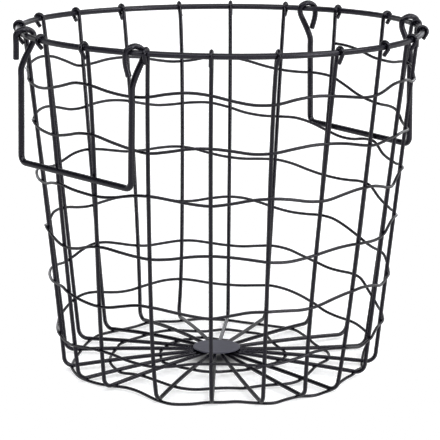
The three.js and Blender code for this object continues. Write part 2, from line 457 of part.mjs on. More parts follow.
// ------------------------------------------------------------ bail handles
// An eye, from its cut tail outside the ring, over it, and in under it to the leg.
// Places are along the swing axis, outwards and up, from the ring's centre line.
function eyePoints({ along: a, tail, shift, kink }) {
  const b = EYE_ACROSS;
  const points = [tail, [-a * 0.98, b * 0.97, -9]];
  for (let i = 0; i <= 12; i += 1) {
    const t = deg(90 - 15 * i);
    points.push([-a * Math.sin(t) * Math.abs(Math.sin(t)), b * Math.sin(t), EYE_RISE * Math.cos(t)]);
  }
  points.push([a * 0.95, -b * 0.93, -5.5], [a * 0.55 + shift * 0.3, -b * 0.5, -15], [shift * 0.75 + 0.6, HANDLE_OUT - 2.2, 8.5 - kink], [shift, HANDLE_OUT, -kink]);
  return points;
}
HANDLES.forEach(({ name, lean, eyes }) => {
  const [e1, e2] = eyes.map(({ angle }) => polar(ringRadius(angle), angle, ringHeight(angle)));
  const width = e1.distanceTo(e2);
  const along = new THREE.Vector3().subVectors(e2, e1).normalize();
  const up = new THREE.Vector3(e1.x + e2.x, e1.y + e2.y, 0).cross(along).normalize();
  if (up.z < 0) up.negate();
  const out = new THREE.Vector3().crossVectors(along, up);
  if (out.dot(e1) < 0) out.negate();
  const c = Math.cos(deg(lean));
  const s = Math.sin(deg(lean));
  const place = ([x, r, z]) => e1.clone().addScaledVector(along, x)
    .addScaledVector(out, r * c - z * s).addScaledVector(up, r * s + z * c);
  const local = eyePoints(eyes[0]);
  const corner = 5;
  for (let i = 0; i <= corner; i += 1) {
    const t = ((Math.PI / 2) * i) / corner;
    local.push([eyes[0].shift + HANDLE_CORNER * (1 - Math.cos(t)), HANDLE_OUT, -eyes[0].drop + HANDLE_CORNER * (1 - Math.sin(t))]);
  }
  for (let i = 0; i <= corner; i += 1) {
    const t = ((Math.PI / 2) * i) / corner;
    local.push([width + eyes[1].shift - HANDLE_CORNER * (1 - Math.sin(t)), HANDLE_OUT, -eyes[1].drop + HANDLE_CORNER * (1 - Math.cos(t))]);
  }
  local.push(...eyePoints(eyes[1]).reverse().map(([x, r, z]) => [x + width, r, z]));
  add(name, wire(local.map(place), (HANDLE_WIRE / 2) * 1.03, 8), handleMaterial);
});

export default basket;
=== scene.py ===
"""Looks of the round wire laundry basket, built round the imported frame.
Lengths are worked out in millimetres and written to the meshes in metres."""
import bpy
import math
import numpy as np
from mathutils import Matrix, Vector


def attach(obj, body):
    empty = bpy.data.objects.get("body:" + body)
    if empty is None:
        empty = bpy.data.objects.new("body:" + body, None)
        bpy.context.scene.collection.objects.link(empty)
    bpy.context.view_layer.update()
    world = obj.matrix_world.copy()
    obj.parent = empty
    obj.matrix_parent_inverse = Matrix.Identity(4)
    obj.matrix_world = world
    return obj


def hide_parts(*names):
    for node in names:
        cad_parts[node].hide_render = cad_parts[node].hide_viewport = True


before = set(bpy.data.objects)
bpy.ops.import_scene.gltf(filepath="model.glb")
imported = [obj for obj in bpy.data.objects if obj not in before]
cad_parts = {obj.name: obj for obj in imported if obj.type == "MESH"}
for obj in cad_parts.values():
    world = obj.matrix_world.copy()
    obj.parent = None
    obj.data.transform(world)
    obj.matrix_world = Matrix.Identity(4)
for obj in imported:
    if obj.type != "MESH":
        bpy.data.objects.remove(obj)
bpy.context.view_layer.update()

# ---------------------------------------------------------------- sizes, as in the frame
RIM_RADIUS, RIM_HEIGHT = 200.0, 345.0
RIM_SPREAD = [0.08, 0, 0, 0, -0.82, 0.12, 0.52]                  # the ring out of round, then out of level
RIM_RISE = [0, 0.6, -0.3, 0.75, -0.6, 0, 0]
RIM_R, UP_R, WAVE_R, HANDLE_R = 2.66, 1.81, 1.26, 2.84   # wire radii, with their coat
EYE_R = 2.64                                             # the handles are drawn thinner where they are curled
COUNT, FIRST = 20, -44.444
CORNER_RADIUS, CORNER_HEIGHT, BEND = 161.0, 3.60, 10.0
SPOKE_END, SPOKE_Z = 16.0, 11.32
HUB = np.array([*[-0.49, 0.43], 0.0])                   # middle of the spokes' ends and of the disc
DISC_OFF = HUB + np.array([-0.48, 0.42, 0.0])
SPOKE_ASIDE = {15: np.array([-1.22, 1.06, 0.0])}         # a spoke that runs in askew
HOOK_R = RIM_R + UP_R - 0.03                             # the hooks close on the ring
TOUCH = UP_R + WAVE_R - 0.10                             # the wavy wire sinks a little into each weld
TOP_DRIFT = [-2.66, -5.7, -2.92, 0.54, 0.84, 0.49, -1.21, 0.15, -0.2, 0.55, 2.43, 1.89, -0.42, 0.37, 1.77, 1.25, 0.81, 0.69, -0.58, -2.88]
FOOT_DRIFT = [-1.2, 1.95, -0.05, 1.68, 2.6, -0.4, 1.38, -0.56, -1.01, -2.71, -4.91, 0.65, -1.55, -4.75, 0.27, 1.57, 0.98, -0.73, -4.33, -0.68]
FOOT_OUT = [0.93, 1.2, 1.7, 1.93, 1.18, -0.05, 0.03, 2, -0.05, 1.5, 0.1, -0.5, -0.38, -2.85, -0.15, 0.05, 2.4, -0.45, 0.9, -2.3]
FOOT_RISE = [0.1, 0, 0.96, 2, 0.48, 0.08, 1.04, 2.28, 0.76, 0.15, 0, 1.11, 0, 1.34, 0, 0.38, 0, 0.72, 0, 2.25]
SPOKE_BOW = [0.74, -1.23, 1.03, 0.96, -0.51, -0.2, 2.27, 2.75, 2.33, 1.1, 0.74, 1.2, 1.35, 1.04, 2.16, 0.7, -1.33, -0.33, 0.81, 0.25]
SIDE_BOW = [0.05, -0.12, -1.78, -0.8, -0.34, -0.16, -0.56, -0.96, 0.8, -0.24, -0.92, 1.12, -0.7, 0.1, -0.8, -0.1, 0.34, -1.44, 0.94, 0.68]
SIDE_SWAY = [-0.12, 1.3, 1.02, 0.48, 0.12, -0.12, 0, 0.12, -0.48, -0.3, 0.97, -1.39, 0.3, 0.78, -0.3, -0.18, -0.6, 0.6, -0.6, -0.58]
TOP_SPRING = [0, -1.5, 3, 2.6, -0.4, 0.4, 2.6, 2, 0, 1.4, 0.9, -1.7, -0.2, -2.2, 0.6, 0.6, 1.6, 1, -2, -1.4]
FOOT_SPRING = [-0.75, -0.15, 1.35, 0.3, 0, 0, 3.3, 1.5, -0.3, -0.3, 3.6, -1.05, 2.1, 2.1, 4.65, 1.05, 1.05, 0.75, -3.15, 0.75]
HOOK_END = [-31, -31, -32, -36, -34.2, -30, -35.6, -33.4, -34, -35, -30, -37.5, -39, -33, -33, -31, -32.6, -28, -36, -30]
HOOK_DROP = [7.35, 9.42, 7.57, 8.07, 8.7, 9.42, 9.8, 10.41, 8.46, 8.47, 8.94, 9.63, 7.72, 10.14, 9.29, 9.6, 9.52, 10.06, 8.19, 9.83]
HOOK_TURN = [-0.45, -0.3, 0.9, 0.21, 0.6, -0.3, -1.86, -0.36, -0.51, -0.99, 1.05, 1.65, 1.65, 0.36, -0.84, -0.6, -1.74, -0.84, -0.43, 0]
WAVE_STEP, WAVE_START = 6.0, 10.7
WAVE_HEIGHTS = [
  311.1, 310.1, 306.9, 302.5, 301.5, 302.6, 306.0, 307.3, 305.4, 300.7, 299.0, 300.4, 304.8, 306.5, 305.5, 300.3, 298.2, 300.5, 303.1, 304.6,
  302.7, 298.8, 298.6, 302.4, 307.5, 309.5, 307.5, 303.7, 303.3, 305.8, 309.8, 310.0, 304.9, 300.3, 297.5, 297.5, 300.4, 302.3, 303.9, 302.6,
  304.6, 306.3, 306.1, 303.0, 296.3, 289.2, 289.5, 292.0, 292.7, 291.6, 287.8, 285.2, 286.3, 289.5, 289.8, 286.6, 281.5, 277.9, 277.0, 277.6,
  275.6, 268.7, 261.2, 257.1, 255.7, 256.8, 255.7, 248.6, 246.9, 246.9, 248.3, 250.4, 251.9, 252.0, 250.9, 249.8, 252.0, 255.7, 257.9, 258.1,
  255.9, 253.0, 252.5, 255.4, 257.6, 256.8, 253.3, 250.7, 253.4, 257.6, 262.0, 261.6, 257.3, 254.3, 254.2, 255.3, 258.9, 256.7, 253.0, 249.3,
  253.5, 255.0, 253.9, 249.8, 245.3, 244.3, 246.9, 247.9, 246.1, 241.9, 238.6, 238.7, 240.1, 239.8, 235.4, 229.7, 226.9, 226.8, 227.0, 223.4,
  217.3, 212.9, 212.7, 215.7, 215.0, 207.0, 203.9, 203.5, 206.2, 207.8, 208.6, 205.4, 200.0, 201.3, 205.7, 208.9, 208.9, 206.3, 203.1, 203.7,
  207.1, 209.2, 208.3, 205.1, 202.9, 204.3, 207.1, 209.3, 208.1, 204.2, 202.3, 202.8, 203.9, 205.8, 203.7, 199.6, 199.1, 199.2, 200.3, 199.7,
  197.1, 194.0, 191.9, 193.8, 197.8, 199.2, 197.4, 193.9, 190.6, 190.2, 191.8, 192.2, 189.7, 184.4, 180.2, 178.6, 179.2, 179.3, 176.6, 172.0,
  168.6, 167.6, 168.4, 170.1, 168.3, 161.2, 157.0, 156.1, 157.3, 157.9, 160.1, 159.5, 155.7, 151.4, 151.1, 152.7, 154.0, 153.6, 151.5, 148.4,
  146.3, 147.3, 150.4, 153.0, 154.1, 152.7, 149.4, 147.6, 148.5, 150.4, 152.0, 149.8, 144.8, 142.4, 144.5, 148.7, 152.2, 148.9, 144.6, 139.1,
  138.8, 144.7, 145.5, 143.8, 140.4, 138.6, 140.1, 141.7, 141.3, 139.5, 136.0, 132.0, 131.5, 134.0, 135.8, 135.2, 131.4, 126.4, 123.6, 123.3,
  124.3, 123.4, 118.9, 113.3, 108.4, 106.5, 106.9, 106.6, 102.9, 98.1, 97.6, 96.3, 97.0, 101.5, 104.5, 106.3, 105.3, 102.3, 98.3, 96.5,
  97.5, 98.3, 98.1, 95.0, 92.2, 93.9, 96.7, 99.4, 99.7, 96.0, 91.8, 90.4, 91.3, 93.7, 97.4, 96.6, 96.1, 95.6, 95.0, 94.3,
  92.7, 90.7, 88.6, 90.1, 94.3, 97.0, 96.0, 92.0, 87.5, 85.0, 86.1, 87.5, 87.3, 84.7, 82.1, 81.2, 82.6, 83.8, 82.0, 77.0,
  72.3, 69.2, 69.0, 70.0, 68.4, 60.9, 54.8, 51.3, 50.9, 49.1, 47.6, 47.8, 44.6, 42.8, 42.0, 45.5, 48.9, 51.3, 51.3, 48.0,
  45.3, 44.1, 45.4, 46.6, 46.6, 45.5, 42.1, 39.8, 39.8, 41.4, 44.0, 44.4, 43.1, 40.9, 38.9, 38.9, 41.7, 40.7, 38.3, 37.7,
  38.0, 40.5, 43.1, 45.7, 46.5, 44.5, 40.9, 38.4, 38.5, 41.5, 44.5, 45.0, 43.0, 39.8, 37.8, 37.4, 38.4, 39.3, 37.4, 33.1,
  27.1, 21.5, 19.3, 19.0, 18.8, 17.2,
]
SPAN_BULGE = [
  -1.0, -1.1, -1.0, -0.8, -0.5, -1.0, -1.0, -1.0, -1.0, -1.0, -1.0, -0.5, -3.2, -0.5, -1.2, -1.0, -1.0, -1.0, -1.0, -1.0,
  -1.0, -0.6, -1.2, -1.8, -1.0, -1.0, -1.0, -1.0, -1.0, -1.0, -1.0, -0.2, -2.4, -0.8, -1.4, -1.0, -1.0, -1.0, -1.0, -1.0,
  -1.0, -1.6, -1.0, -2.2, -0.8, -1.0, -1.0, -1.0, -1.0, -1.0, -1.0, -1.2, 0.3, -1.1, 0.0, -1.0, -1.0, -1.0, -1.0, -1.0,
  -1.0, -0.9, -1.0, -2.2, -0.6, -1.0, -1.0, -1.0, -1.0, -1.0, -1.0, -0.2, -2.4, -0.1, -1.1, -1.0, -1.0, -1.0, -1.0, -1.0,
  -1.0, -0.5, -0.8, -1.3, -1.1, -1.0, -1.0, -1.0, -1.0, -1.0, -1.0, -1.4, -0.6, -1.0, -0.6, -1.0, -1.0, -1.0, -1.0, -1.0,
  -1.0, -0.3, -0.4, -2.2, -1.3, -1.0, -1.0, -1.0, -1.0, -1.0, -1.0, -0.9, -2.2, -0.6, -0.4, -1.0, -1.0, -1.0, -1.0, -1.0,
  -1.0, -0.1, -1.0, -1.0,
]
FOOT_BEND, FOOT_MIDDLE, FOOT_UNDER, FOOT_LAST = -0.052, (153, 5.2), 148.8, 149.7
SPIRAL_START = -2217.07
SPIRAL_RADII = [
  146.7, 147.6, 145.7, 146.8, 151.1, 152.2, 153.6, 148.9, 151.0, 155.6, 150.2, 144.8, 146.5, 147.9, 154.2, 157.7, 152.2, 145.2, 140.0, 139.2,
  144.2, 148.4, 151.1, 153.6, 153.6, 152.8, 149.8, 147.2, 146.0, 145.8, 147.3, 149.6, 152.1, 153.8, 150.4, 145.2, 144.3, 148.7, 149.8, 143.9,
  148.9, 154.9, 153.3, 150.2, 143.7, 139.7, 136.8, 134.4, 133.7, 131.0, 125.1, 120.0, 115.9, 114.0, 115.2, 117.4, 116.8, 115.4, 113.4, 109.2,
  106.5, 106.0, 107.3, 109.3, 112.1, 114.8, 114.4, 110.4, 106.6, 105.7, 106.8, 106.4, 107.9, 111.8, 116.0, 116.9, 115.1, 111.1, 108.0, 106.0,
  105.6, 108.8, 114.2, 114.0, 113.9, 113.3, 111.8, 110.5, 109.6, 108.8, 109.6, 111.5, 109.4, 105.8, 103.7, 103.1, 101.9, 98.3, 93.2, 87.9,
  85.5, 88.5, 96.5, 104.2, 102.4, 98.9, 96.4, 93.7, 88.6, 83.0, 77.0, 72.9, 70.6, 70.5, 71.7, 71.6, 71.4, 71.2, 70.1, 68.8,
  68.1, 66.8, 65.9, 64.1, 62.7, 62.8, 61.3, 59.8, 58.6, 57.2, 56.7, 58.6, 61.4, 63.6, 64.6, 65.0, 64.6, 63.3, 63.2, 62.5,
  62.0, 62.9, 64.4, 63.8, 62.0, 60.2, 59.8, 59.5, 59.6, 59.5, 59.5, 58.9, 58.9, 59.9, 57.5, 56.5, 57.2, 53.5, 56.6, 57.1,
  56.6, 56.0, 54.7, 53.6, 53.5, 53.8,
]
# for each eye: angle, half spread, tail, and the leg's place, drop and start
HANDLES = (
    ("left", 0.6, (159.41, 4, (-4, 7.6, -23.2), -4.4, 124.6, 32.8), (206.03, 3.45, (-1.2, 5.6, -21.5), -1.65, 126.45, 31.9)),
    ("right", 1.1, (-25.9, 3.35, (-3.8, 5.6, -26), -0.2, 127, 31.6), (20.98, 3.45, (-0.4, 5.6, -22), -3.25, 123.85, 32.4)),
)
HANDLE_CORNER, HANDLE_OUT, EYE_ACROSS, EYE_RISE = 7.0, 1.0, 7.82, 6.00

rng = np.random.default_rng(20)


# ---------------------------------------------------------------- curves
def polar(radius, angle, z):
    a = math.radians(angle)
    return np.array([radius * math.cos(a), radius * math.sin(a), z])


def unit(v):
    return v / np.linalg.norm(v)


def listed(values, f):
    i = min(max(int(math.floor(f)), 0), len(values) - 2)
    t = f - i
    p1, p2 = values[i], values[i + 1]
    p0 = values[i - 1] if i > 0 else 2 * p1 - p2
    p3 = values[i + 2] if i + 2 < len(values) else 2 * p2 - p1
    return 0.5 * (2 * p1 + (p2 - p0) * t + (2 * p0 - 5 * p1 + 4 * p2 - p3) * t * t + (3 * p1 - p0 - 3 * p2 + p3) * t ** 3)


def through(points, step):
    """A smooth line through the points, with about one point per step along it."""
    p = np.asarray(points, float)
    q = np.vstack([2 * p[0] - p[1], p, 2 * p[-1] - p[-2]])
    out = []
    for i in range(1, len(q) - 2):
        p0, p1, p2, p3 = q[i - 1], q[i], q[i + 1], q[i + 2]
        d1 = max(np.linalg.norm(p1 - p0), 1e-6) ** 0.5
        d2 = max(np.linalg.norm(p2 - p1), 1e-6) ** 0.5
        d3 = max(np.linalg.norm(p3 - p2), 1e-6) ** 0.5
        m1 = (p1 - p0) / d1 - (p2 - p0) / (d1 + d2) + (p2 - p1) / d2
        m2 = (p2 - p1) / d2 - (p3 - p1) / (d2 + d3) + (p3 - p2) / d3
        m1, m2 = m1 * d2, m2 * d2
        n = max(1, int(round(np.linalg.norm(p2 - p1) / step)))
        for t in np.arange(n) / n:
            out.append((2 * t ** 3 - 3 * t * t + 1) * p1 + (t ** 3 - 2 * t * t + t) * m1
                       + (-2 * t ** 3 + 3 * t * t) * p2 + (t ** 3 - t * t) * m2)
    out.append(p[-1])
    return np.array(out)


# ---------------------------------------------------------------- meshes
def mesh_object(name, verts, faces, flat=()):
    me = bpy.data.meshes.new(name)
    me.from_pydata([tuple(v) for v in np.asarray(verts) * 0.001], [], faces)
    me.update()
    me.polygons.foreach_set("use_smooth", [i not in flat for i in range(len(me.polygons))])
    ob = bpy.data.objects.new(name, me)
    bpy.context.scene.collection.objects.link(ob)
    return ob


def tube_data(path, radius, sides, closed=False, ends=0.4, start=0):
    """Round wire along a path, its cut ends rounded over as a coating leaves them."""
    p = np.asarray(path, float)
    r = np.full(len(p), float(radius)) if np.isscalar(radius) else np.asarray(radius, float)
    r = r * 2 / (1 + math.cos(math.pi / sides))           # so that the many-sided wire is as wide as the round one
    n = len(p)
    if closed:
        tang = np.array([unit(p[(i + 1) % n] - p[i - 1]) for i in range(n)])
    else:
        tang = np.array([unit(p[min(i + 1, n - 1)] - p[max(i - 1, 0)]) for i in range(n)])
    rings = [(p[i], r[i], tang[i]) for i in range(n)]
    if not closed and ends:
        e = ends
        head = [(p[0] + tang[0] * e * (1 - math.sin(a)), r[0] - e * (1 - math.cos(a)), tang[0]) for a in np.radians([90, 60, 30])]
        tail = [(p[-1] - tang[-1] * e * (1 - math.sin(a)), r[-1] - e * (1 - math.cos(a)), tang[-1]) for a in np.radians([30, 60, 90])]
        rings = head + [(p[0] + tang[0] * e, r[0], tang[0])] + rings[1:-1] + [(p[-1] - tang[-1] * e, r[-1], tang[-1])] + tail
    t0 = rings[0][2]
    nrm = unit(np.cross(t0, [0, 0, 1.0]) if abs(t0[2]) < 0.9 else np.cross(t0, [1.0, 0, 0]))
    verts, faces = [], []
    frames = []
    for c, rad, t in rings:
        nrm = unit(nrm - t * np.dot(nrm, t))
        frames.append((c, rad, t, nrm))
    twist = 0.0
    if closed:  # spread the frame's turn over the ring so that its ends meet
        t = frames[0][2]
        last = unit(frames[-1][3] - t * np.dot(frames[-1][3], t))
        twist = math.atan2(np.dot(np.cross(frames[0][3], last), t), np.dot(frames[0][3], last))
    m = len(frames)
    for i, (c, rad, t, nv) in enumerate(frames):
        bi = np.cross(t, nv)
        off = -twist * i / m
        for s in range(sides):
            a = 2 * math.pi * s / sides + off
            verts.append(c + rad * (math.cos(a) * nv + math.sin(a) * bi))
    for i in range(m if closed else m - 1):
        j = (i + 1) % m
        for s in range(sides):
            u = (s + 1) % sides
            faces.append((start + i * sides + s, start + i * sides + u, start + j * sides + u, start + j * sides + s))
    flat = []
    if not closed:
        flat = [len(faces), len(faces) + 1]
        faces.append(tuple(start + s for s in reversed(range(sides))))
        faces.append(tuple(start + (m - 1) * sides + s for s in range(sides)))
    return verts, faces, flat


def tube(name, path, radius, sides, closed=False, ends=0.4):
    v, f, flat = tube_data(path, radius, sides, closed, ends)
    return mesh_object(name, v, f, set(flat))


def blobs(name, places):
    """Weld beads: a flattened drop at each place, (centre, along one wire, along the other, half lengths)."""
    verts, faces = [], []
    lat, lon = 7, 12
    for c, a, b, (la, lb, lc) in places:
        a = unit(a)
        n = unit(np.cross(a, b))
        b = np.cross(n, a)
        base = len(verts)
        verts.append(c + n * lc)
        for i in range(1, lat):
            th = math.pi * i / lat
            for j in range(lon):
                ph = 2 * math.pi * j / lon
                verts.append(c + math.sin(th) * (la * math.cos(ph) * a + lb * math.sin(ph) * b) + lc * math.cos(th) * n)
        verts.append(c - n * lc)
        for j in range(lon):
            k = (j + 1) % lon
            faces.append((base, base + 1 + j, base + 1 + k))
            for i in range(lat - 2):
                o = base + 1 + i * lon
                faces.append((o + j, o + lon + j, o + lon + k, o + k))
            o = base + 1 + (lat - 2) * lon
            faces.append((o + j, base + 1 + (lat - 1) * lon, o + k))
    return mesh_object(name, verts, faces)


# ---------------------------------------------------------------- uprights
def top_angle(k):
    return FIRST + 18.0 * k + TOP_DRIFT[k]


def foot_angle(k):
    return FIRST + 18.0 * k + FOOT_DRIFT[k]


def out_of_true(c, ang):
    a = math.radians(ang)
    return c[0] + sum(c[2 * n - 1] * math.cos(n * a) + c[2 * n] * math.sin(n * a) for n in (1, 2, 3))


def ring(ang):
    """Radius and height of the top ring's centre line."""
    return RIM_RADIUS + out_of_true(RIM_SPREAD, ang), RIM_HEIGHT + out_of_true(RIM_RISE, ang)


def hook_start(k):
    r, z = ring(top_angle(k))
    o, d = CORNER_RADIUS + FOOT_OUT[k] - r, CORNER_HEIGHT + FOOT_RISE[k] - z
    return math.atan2(d, o) - math.acos(HOOK_R / math.hypot(o, d)) + 2 * math.pi


def on_hook(k, f):
    r, z = ring(top_angle(k))
    return polar(r + HOOK_R * math.cos(f), top_angle(k), z + HOOK_R * math.sin(f))


def corner(k):
    return polar(CORNER_RADIUS + FOOT_OUT[k], foot_angle(k), CORNER_HEIGHT + FOOT_RISE[k])


def spoke_end(k):
    return polar(SPOKE_END, foot_angle(k), SPOKE_Z) + HUB + SPOKE_ASIDE.get(k, 0.0)


SIDE_TOP = [on_hook(k, hook_start(k)) for k in range(COUNT)]
CORNER = [corner(k) for k in range(COUNT)]


def along_side(k, t):
    """Centre line of an upright's side, t from 0 at the corner to 1 at the curl."""
    m = math.radians((top_angle(k) + foot_angle(k)) / 2)
    sideways = (SIDE_BOW[k] * 4 * t * (1 - t) + SIDE_SWAY[k] * 10.392 * t * (1 - t) * (2 * t - 1)
                + TOP_SPRING[k] * (t ** 8 - t) + FOOT_SPRING[k] * ((1 - t) ** 8 - (1 - t)))
    return CORNER[k] + (SIDE_TOP[k] - CORNER[k]) * t + sideways * np.array([-math.sin(m), math.cos(m), 0])


def bend(frm, at, to, radius, count):
    a, b = unit(frm - at), unit(to - at)
    half = math.acos(np.dot(a, b)) / 2
    centre = at + unit(a + b) * radius / math.sin(half)
    u = (at + a * radius / math.tan(half) - centre) / radius
    v = (at + b * radius / math.tan(half) - centre) / radius
    span = math.acos(max(-1, min(1, np.dot(u, v))))
    return [centre + radius * (math.sin((1 - f) * span) * u + math.sin(f * span) * v) / math.sin(span) for f in np.linspace(0, 1, count)]


def upright_path(k):
    ang = top_angle(k)
    end, start = math.radians(HOOK_END[k]), hook_start(k)
    r, z = ring(ang)
    run = (HOOK_R * math.sin(end) + HOOK_DROP[k]) / math.cos(end)
    turned = polar(1, ang + 90, 0)
    tip = polar(r + HOOK_R * math.cos(end) + run * math.sin(end), ang, z - HOOK_DROP[k]) + HOOK_TURN[k] * turned
    hook = []
    for f in np.linspace(0, 1, 22):
        u = max(0.0, 1 - 1.444 * f)
        hook.append(on_hook(k, end + (start - end) * f) + HOOK_TURN[k] * 0.55 * u * u * turned)
    pts = [tip + (hook[0] - tip) * f for f in (0, 0.33, 0.66)] + hook
    foot = bend(along_side(k, 0.08), CORNER[k], spoke_end(k), BEND, 14)
    low = 0.045
    pts += [along_side(k, t) for t in 1 - (1 - low) * np.linspace(0, 1, 40)[1:-1]]
    pts = [p for p in pts if p[2] > foot[0][2] + 2.0] + foot
    a, b = foot[-1], spoke_end(k)
    for f in np.linspace(0, 1, 16)[1:]:
        q = a + (b - a) * f
        q[2] += 4 * SPOKE_BOW[k] * f * (1 - f)
        pts.append(q)
    return np.array(pts)


def on_side(k, z):
    top, foot = SIDE_TOP[k][2], CORNER[k][2]
    p = along_side(k, (z - foot) / (top - foot))
    ang = math.degrees(math.atan2(p[1], p[0]))
    near = foot_angle(k)
    return math.hypot(p[0], p[1]), near + (ang - near + 180) % 360 - 180


LEAN = math.atan2(RIM_RADIUS - HOOK_R - CORNER_RADIUS, RIM_HEIGHT - CORNER_HEIGHT)
SIDE_OFF = TOUCH / math.cos(LEAN)


def wave_height(ang):
    return listed(WAVE_HEIGHTS, (WAVE_START - ang) / WAVE_STEP)


def spiral_radius(ang):
    return listed(SPIRAL_RADII, (SPIRAL_START - ang) / WAVE_STEP)


WAVE_END = WAVE_START - WAVE_STEP * (len(WAVE_HEIGHTS) - 1)
SPIRAL_END = SPIRAL_START - WAVE_STEP * (len(SPIRAL_RADII) - 1)


def neighbours(ang, angle_of):
    """The two uprights either side of an angle, and how far it is from the first to the second."""
    best = None
    for k in range(COUNT):
        a = angle_of(k)
        b = angle_of((k + 1) % COUNT)
        span = (b - a) % 360
        d = (ang - a) % 360
        if d <= span:
            best = (k, (k + 1) % COUNT, d / span)
            break
    return best


def side_point(ang, z):
    i, j, t = neighbours(ang, lambda k: on_side(k, z)[1])
    (ri, ai), rj = on_side(i, z), on_side(j, z)[0]
    turn = round((ang - (ang - ai) % 360 - (FIRST + 18.0 * i)) / 360)
    span = 2 - i - COUNT * turn
    bulge = SPAN_BULGE[span] if 0 <= span < len(SPAN_BULGE) else 0.0
    return polar(ri * (1 - t) + rj * t + bulge * 4 * t * (1 - t) + SIDE_OFF, ang, z)


def spoke_height(k, radius):
    out, z0 = CORNER_RADIUS + FOOT_OUT[k], CORNER_HEIGHT + FOOT_RISE[k]
    f = min(max((out - 9.4 - radius) / (out - 9.4 - SPOKE_END), 0), 1)
    return z0 + (out - radius) * (SPOKE_Z - z0) / (out - SPOKE_END) + 4 * SPOKE_BOW[k] * f * (1 - f)


def spiral_level(ang, radius):
    i, j, t = neighbours(ang, foot_angle)
    z = spoke_height(i, radius) * (1 - t) + spoke_height(j, radius) * t
    return max(WAVE_R, z - TOUCH)


def round_bend(k, f):
    out, z0 = CORNER_RADIUS + FOOT_OUT[k], CORNER_HEIGHT + FOOT_RISE[k]
    up = unit(np.array([math.hypot(SIDE_TOP[k][0], SIDE_TOP[k][1]) - out, SIDE_TOP[k][2] - z0]))
    inward = unit(np.array([SPOKE_END - out, SPOKE_Z - z0]))
    half = math.acos(np.dot(up, inward)) / 2
    c = np.array([out, z0]) + unit(up + inward) * BEND / math.sin(half)
    a = math.atan2(-up[0], up[1]) - (math.pi - 2 * half) * f
    return c[0] + (BEND + TOUCH) * math.cos(a), c[1] + (BEND + TOUCH) * math.sin(a)


def wave_path():
    pts = []
    for a in np.arange(WAVE_START, WAVE_END - 1e-6, -2.0):
        pts.append(side_point(a, wave_height(a)))
    base = -2160.0
    ra, za = round_bend(1, FOOT_BEND)
    pts.append(polar(ra, foot_angle(1) - 0.4 + base, za))
    pts.append(polar(FOOT_MIDDLE[0], (foot_angle(1) + foot_angle(0)) / 2 + base, FOOT_MIDDLE[1]))
    pts.append(polar(FOOT_UNDER, foot_angle(0) + base, WAVE_R))
    pts.append(polar(FOOT_LAST, (foot_angle(0) + base + SPIRAL_START) / 2, WAVE_R))
    for a in np.arange(SPIRAL_START, SPIRAL_END - 1e-6, -2.0):
        r = spiral_radius(a)
        pts.append(polar(r, a, spiral_level(a, r)))
    return through(pts, 2.6)


# ---------------------------------------------------------------- bail handles
def eye_points(eye):
    _angle, a, tail, shift, _drop, kink = eye
    b = EYE_ACROSS
    pts = [tail, (-a * 0.98, b * 0.97, -9.0)]
    for t in np.radians(np.linspace(90, -90, 13)):
        pts.append((-a * math.sin(t) * abs(math.sin(t)), b * math.sin(t), EYE_RISE * math.cos(t)))
    pts += [(a * 0.95, -b * 0.93, -5.5), (a * 0.55 + shift * 0.3, -b * 0.5, -15.0), (shift * 0.75 + 0.6, HANDLE_OUT - 2.2, 8.5 - kink), (shift, HANDLE_OUT, -kink)]
    return [np.array(p, float) for p in pts]


def eye_place(eye):
    r, z = ring(eye[0])
    return polar(r, eye[0], z)


def handle_path(swing, first_eye, second_eye):
    e1, e2 = eye_place(first_eye), eye_place(second_eye)
    width = np.linalg.norm(e2 - e1)
    along = unit(e2 - e1)
    up = unit(np.cross(np.array([e1[0] + e2[0], e1[1] + e2[1], 0.0]), along))
    up = up if up[2] > 0 else -up
    out = np.cross(along, up)
    out = out if np.dot(out, e1) > 0 else -out
    c, s = math.cos(math.radians(swing)), math.sin(math.radians(swing))
    first = eye_points(first_eye)
    second = [p + np.array([width, 0, 0]) for p in eye_points(second_eye)][::-1]
    (s1, d1), (s2, d2) = first_eye[3:5], second_eye[3:5]
    cor1 = [np.array([s1 + HANDLE_CORNER * (1 - math.cos(t)), HANDLE_OUT, -d1 + HANDLE_CORNER * (1 - math.sin(t))])
            for t in np.linspace(0, math.pi / 2, 9)]
    cor2 = [np.array([width + s2 - HANDLE_CORNER * (1 - math.sin(t)), HANDLE_OUT, -d2 + HANDLE_CORNER * (1 - math.cos(t))])
            for t in np.linspace(0, math.pi / 2, 9)]

    def straight(a, b, n):
        return [a + (b - a) * f for f in np.linspace(0, 1, n)[1:-1]]

    local = first + straight(first[-1], cor1[0], 10) + cor1 + straight(cor1[-1], cor2[0], 14) + cor2 + straight(cor2[-1], second[0], 10) + second
    local = through(local, 1.6)
    return np.array([e1 + along * x + out * (r * c - z * s) + up * (r * s + z * c) for x, r, z in local])


# ---------------------------------------------------------------- pieces
pieces = {}
pieces["rim"] = tube("rim_wire", [polar(ring(a)[0], a, ring(a)[1]) for a in np.arange(0, 360, 1.25)], RIM_R, 20, closed=True)
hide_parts("rim_ring")

uprights = []
for k in range(COUNT):
    ob = tube(f"upright_wire_{k + 1:02d}", upright_path(k), UP_R, 16)
    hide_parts(f"upright_{k + 1:02d}")
    uprights.append(ob)

WAVE = wave_path()
pieces["wave"] = tube("wavy_wire", WAVE, WAVE_R, 12, ends=0.3)
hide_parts(*[f"wavy_wire_turn_{i}" for i in range(1, 7)], "wavy_wire_foot", "base_spiral")

handles = {}
for side, swing, first_eye, second_eye in HANDLES:
    path = handle_path(swing, first_eye, second_eye)
    run = np.r_[0, np.cumsum(np.linalg.norm(np.diff(path, axis=0), axis=1))]
    near = np.clip((np.minimum(run, run[-1] - run) - 48.0) / 16.0, 0, 1)
    handles[side] = tube(f"handle_wire_{side}", path, EYE_R + (HANDLE_R - EYE_R) * near * near * (3 - 2 * near), 20, ends=0.5)
    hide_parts(f"handle_{side}")


